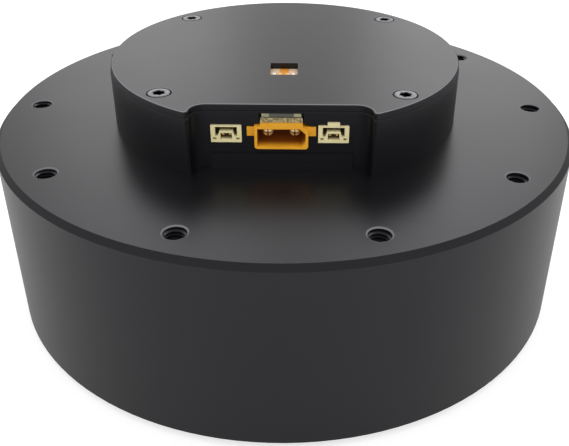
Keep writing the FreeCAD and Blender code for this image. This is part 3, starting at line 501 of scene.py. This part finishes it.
def makeScrews(name, sizes, top, upright):  # countersunk heads, with a border below the raised middle
    deselectAll()
    cutter = recessCutter(sizes)
    deselectAll()
    bpy.ops.mesh.primitive_cylinder_add(vertices=64, radius=sizes["head"], depth=sizes["depth"],
                                        location=(0, 0, -sizes["depth"] / 2))
    screw = namePiece(name)
    bpy.ops.object.transform_apply()
    pickFaces(screw, lambda centre, normal: normal.z < -0.9)
    bpy.ops.transform.resize(value=(sizes["cone"], sizes["cone"], 1))
    pickFaces(screw, lambda centre, normal: normal.z > 0.9)
    bpy.ops.mesh.inset(thickness=sizes["border"])
    bpy.ops.mesh.inset(thickness=sizes["slope"])
    bpy.ops.transform.translate(value=(0, 0, sizes["step"]))
    bpy.ops.object.mode_set(mode="OBJECT")
    cutOut(screw, "recess", cutter)
    roundOff(screw, "rim", sizes["rim"], 2, 50)
    applyAll(screw)
    bpy.data.objects.remove(cutter)
    bpy.ops.object.shade_smooth_by_angle(angle=math.radians(28))
    seats = ringSeats(sizes["count"], sizes["circle"], sizes["first"], top, upright)
    finish = screwFinish(name, sizes, top, upright)
    placeCopies(screw, name, seats, "housing", finish, sizes["node"])


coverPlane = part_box("cover_screws")[1].z
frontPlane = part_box("front_screws")[0].z
makeScrews("coverScrew", coverScrew, coverPlane - coverScrew["sunk"], True)
makeScrews("frontScrew", frontScrew, frontPlane + frontScrew["sunk"] + frontScrew["step"], False)
print("screws done")

powerPin = {
    "radius": 1.0 * mm, "forward": 1.1 * mm, "dome": 0.9 * mm, "slit": 0.26 * mm, "slitDepth": 2.2 * mm,
}


def slitCutter(turn):
    deselectAll()
    bpy.ops.mesh.primitive_cube_add(size=1, location=(0, 0, 0))
    cutter = namePiece("slitCutter")
    sides = (3 * powerPin["radius"], powerPin["slit"], 2 * powerPin["slitDepth"], 1)
    cutter.data.transform(Matrix.Rotation(math.radians(turn), 4, "Z") @ Matrix.Diagonal(sides))
    return cutter


def makePins():  # round contacts with domed ends, split crosswise so that they spring
    low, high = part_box("power_pins")
    radius, front = powerPin["radius"], low.y - powerPin["forward"]
    cutters = [slitCutter(turn) for turn in (0, 90)]
    deselectAll()
    bpy.ops.mesh.primitive_cylinder_add(vertices=32, radius=radius, depth=high.y - front,
                                        location=(0, 0, (front - high.y) / 2))
    pin = namePiece("powerPin")
    bpy.ops.object.transform_apply()
    pickFaces(pin, lambda centre, normal: normal.z > 0.9)
    bpy.ops.mesh.bevel(offset=powerPin["dome"], segments=5)
    bpy.ops.object.mode_set(mode="OBJECT")
    for cutter in cutters:
        cutOut(pin, "slit", cutter)
    applyAll(pin)
    for cutter in cutters:
        bpy.data.objects.remove(cutter)
    bpy.ops.object.shade_smooth_by_angle(angle=math.radians(35))
    middle = (low + high) / 2
    spread = (high.x - low.x) / 2 - radius
    facing = Matrix.Rotation(math.radians(90), 4, "X")
    places = [(middle.x + side * spread, front, middle.z) for side in (-1, 1)]
    seats = [Matrix.Translation(place) @ facing for place in places]
    placeCopies(pin, "powerPin", seats, "housing", finishes["gold"], "power_pins")


makePins()
print("pins done")

threadShape = {"crest": 1.64 * mm, "ridge": 0.27 * mm, "pitch": 0.7 * mm, "steps": 28, "runOut": 0.2 * mm}
rearThread = {
    "count": 10, "circle": rearHoles["circle"] * mm, "first": rearHoles["first"], "height": 39.2 * mm,
    "depth": 7.6 * mm, "body": "housing", "slot": "housing_black", "upright": True,
}
outputThread = {
    "count": 8, "circle": 22 * mm, "first": 22.5, "height": 0.0,
    "depth": 7.1 * mm, "body": "output", "slot": "steel", "upright": False,
}


def makeThreads(name, place, finish):  # a helical ridge down each tapped hole
    deselectAll()
    ridge = threadShape["ridge"]
    start = (threadShape["crest"] + ridge, 0, -place["depth"])
    bpy.ops.mesh.primitive_circle_add(vertices=3, radius=ridge, location=start,
                                      rotation=(math.radians(90), math.radians(-90), 0))
    thread = namePiece(name)
    bpy.ops.object.transform_apply()
    winding = thread.modifiers.new("winding", "SCREW")
    winding.angle = 2 * math.pi
    winding.screw_offset = threadShape["pitch"]
    winding.iterations = int((place["depth"] - threadShape["runOut"]) / threadShape["pitch"])
    winding.steps = winding.render_steps = threadShape["steps"]
    winding.use_merge_vertices = False
    applyAll(thread)
    bpy.ops.object.mode_set(mode="EDIT")
    bpy.ops.mesh.select_all(action="SELECT")
    bpy.ops.mesh.fill_holes(sides=3)
    bpy.ops.mesh.normals_make_consistent(inside=False)
    bpy.ops.object.mode_set(mode="OBJECT")
    bpy.ops.object.shade_smooth_by_angle(angle=math.radians(40))
    seats = ringSeats(place["count"], place["circle"], place["first"], place["height"], place["upright"])
    placeCopies(thread, name, seats, place["body"], finish)


cutThread = groundMetal("cutThread", (58, 58, 62), (96, 96, 100), (0.3, 0.42), 0.2)
makeThreads("rearThread", rearThread, cutThread)
makeThreads("outputThread", outputThread, cutThread)
print("threads done")


cameraSet = {  # lengths in mm, turns in degrees
    "lens": 48.08, "distance": 166.96, "lift": 23.67, "tilt": 29.47, "side": 1.65, "turn": 0.49, "roll": 0.25,
    "aimHeight": 39.2, "shift": (-0.0264, -0.0703),
}


def addCamera():
    data = bpy.data.cameras.new("camera")
    camera = bpy.data.objects.new("camera", data)
    bpy.context.scene.collection.objects.link(camera)
    lift, side = math.radians(cameraSet["lift"]), math.radians(cameraSet["side"])
    back = cameraSet["distance"] * math.cos(lift)
    rise = cameraSet["aimHeight"] + cameraSet["distance"] * math.sin(lift)
    camera.location = Vector((back * math.sin(side), -back * math.cos(side), rise)) * mm
    turns = (("Z", cameraSet["turn"]), ("X", 90 - cameraSet["tilt"]), ("Z", cameraSet["roll"]))
    aim = Matrix.Identity(3)
    for axis, angle in turns:
        aim = aim @ Matrix.Rotation(math.radians(angle), 3, axis)
    camera.rotation_euler = aim.to_euler()
    data.sensor_width = 36.0
    data.lens = cameraSet["lens"]
    data.shift_x, data.shift_y = cameraSet["shift"]
    data.clip_start = 0.005
    data.clip_end = 20.0
    bpy.context.scene.camera = camera


backdrop = {
    "floorReach": 4.0, "opening": 0.052, "floorColour": (0.5, 0.5, 0.5, 1.0), "floorGlow": 0.62,
    # mirroredGlow runs from a painted shade beside the part to the open floor's glow
    "mirroredGlow": (0.16, 0.29), "glowReach": (0.06, 0.17), "level": 1.25,
    # degrees above the horizon, strength
    "walls": ((0, 0.6), (12, 0.8), (20, 0.72), (28, 0.82), (36, 1.0), (44, 1.05), (54, 0.2)),
}


def directRays(tree):  # the rays that show the backdrop: straight ones, then those by way of metal or glass
    paths = addNode(tree, "ShaderNodeLightPath")
    mirrored = calc(tree, "MAXIMUM", paths.outputs["Is Glossy Ray"], paths.outputs["Is Transmission Ray"])
    return paths.outputs["Is Camera Ray"], mirrored


def floorGlow(tree):  # how bright the floor shows beside its own light; when mirrored it is dimmer beside the part, a painted shade
    seen, mirrored = directRays(tree)
    away = addNode(tree, "ShaderNodeVectorMath", operation="LENGTH")
    tree.links.new(texturePoint(tree), away.inputs[0])
    # painted shade: mirrored rays see less glow near the part, standing in for its shadow
    clear = step(tree, away.outputs["Value"], *backdrop["glowReach"])
    shadedMirrorGlow = between(tree, clear, *backdrop["mirroredGlow"])
    glow = addNode(tree, "ShaderNodeEmission")
    glow.inputs["Color"].default_value = (1.0, 1.0, 1.0, 1.0)
    shown = calc(tree, "MAXIMUM", calc(tree, "MULTIPLY", seen, backdrop["floorGlow"]),
                 calc(tree, "MULTIPLY", mirrored, shadedMirrorGlow))
    feed(tree, glow.inputs["Strength"], shown)
    return glow


def addFloor():  # a pale floor that keeps the shadow, open under the part and clear from below
    deselectAll()
    bpy.ops.mesh.primitive_circle_add(vertices=96, radius=backdrop["floorReach"], fill_type="NGON",
                                      location=(0, 0, 0))
    floor = namePiece("paleFloor")
    pickFaces(floor, lambda centre, normal: True)
    bpy.ops.mesh.inset(thickness=backdrop["floorReach"] - backdrop["opening"])
    bpy.ops.mesh.delete(type="FACE")
    bpy.ops.object.mode_set(mode="OBJECT")
    material, tree, shader = newFinish("paleFloor", Roughness=0.9)
    shader.inputs["Base Color"].default_value = backdrop["floorColour"]
    shader.inputs["Specular IOR Level"].default_value = 0.1
    both = addNode(tree, "ShaderNodeAddShader")
    tree.links.new(shader.outputs[0], both.inputs[0])
    tree.links.new(floorGlow(tree).outputs[0], both.inputs[1])
    sides = addNode(tree, "ShaderNodeMixShader")
    tree.links.new(addNode(tree, "ShaderNodeNewGeometry").outputs["Backfacing"], sides.inputs[0])
    tree.links.new(both.outputs[0], sides.inputs[1])
    tree.links.new(addNode(tree, "ShaderNodeBsdfTransparent").outputs[0], sides.inputs[2])
    tree.links.new(sides.outputs[0], tree.nodes["Material Output"].inputs["Surface"])
    floor.data.materials.append(material)


def addWorld():  # white to the camera, walls under a dim ceiling to mirrored rays, a plain level for the rest
    world = bpy.data.worlds.new("studio")
    bpy.context.scene.world = world
    world.use_nodes = True
    tree = world.node_tree
    back = tree.nodes["Background"]
    feed(tree, back.inputs["Color"], (1.0, 1.0, 1.0, 1.0))
    walls = addNode(tree, "ShaderNodeValToRGB")
    while len(walls.color_ramp.elements) < len(backdrop["walls"]):
        walls.color_ramp.elements.new(0.5)
    for element, (height, strength) in zip(walls.color_ramp.elements, backdrop["walls"]):
        element.position = math.sin(math.radians(height))
        element.color = (strength, strength, strength, 1.0)
    tree.links.new(axes(tree, "Generated")["Z"], walls.inputs[0])
    seen, mirrored = directRays(tree)
    others = calc(tree, "SUBTRACT", 1.0, calc(tree, "MAXIMUM", seen, mirrored))
    shown = calc(tree, "MAXIMUM", seen, calc(tree, "MULTIPLY", mirrored, walls.outputs["Color"]))
    level = calc(tree, "MULTIPLY", others, backdrop["level"])
    feed(tree, back.inputs["Strength"], calc(tree, "ADD", shown, level))


lamps = {
    "front": {"place": (-0.1, -0.85, 0.5), "size": (0.5, 0.3), "power": 0.5},
    "rearLeft": {"place": (-0.22, 0.82, 0.6), "size": (0.3, 0.7), "power": 0.75},
    "rearRight": {"place": (0.22, 0.82, 0.6), "size": (0.3, 0.7), "power": 0.9},
}


def addLamps():
    for name, values in lamps.items():
        data = bpy.data.lights.new(name, "AREA")
        data.shape = "RECTANGLE"
        data.size, data.size_y = values["size"]
        data.energy = values["power"]
        lamp = bpy.data.objects.new(name, data)
        bpy.context.scene.collection.objects.link(lamp)
        lamp.location = values["place"]
        lamp.rotation_euler = (-Vector(values["place"])).to_track_quat("-Z", "Y").to_euler()


addCamera()
addFloor()
addWorld()
addLamps()
bpy.context.scene.view_settings.view_transform = "Standard"
print("stage, lights and camera done")
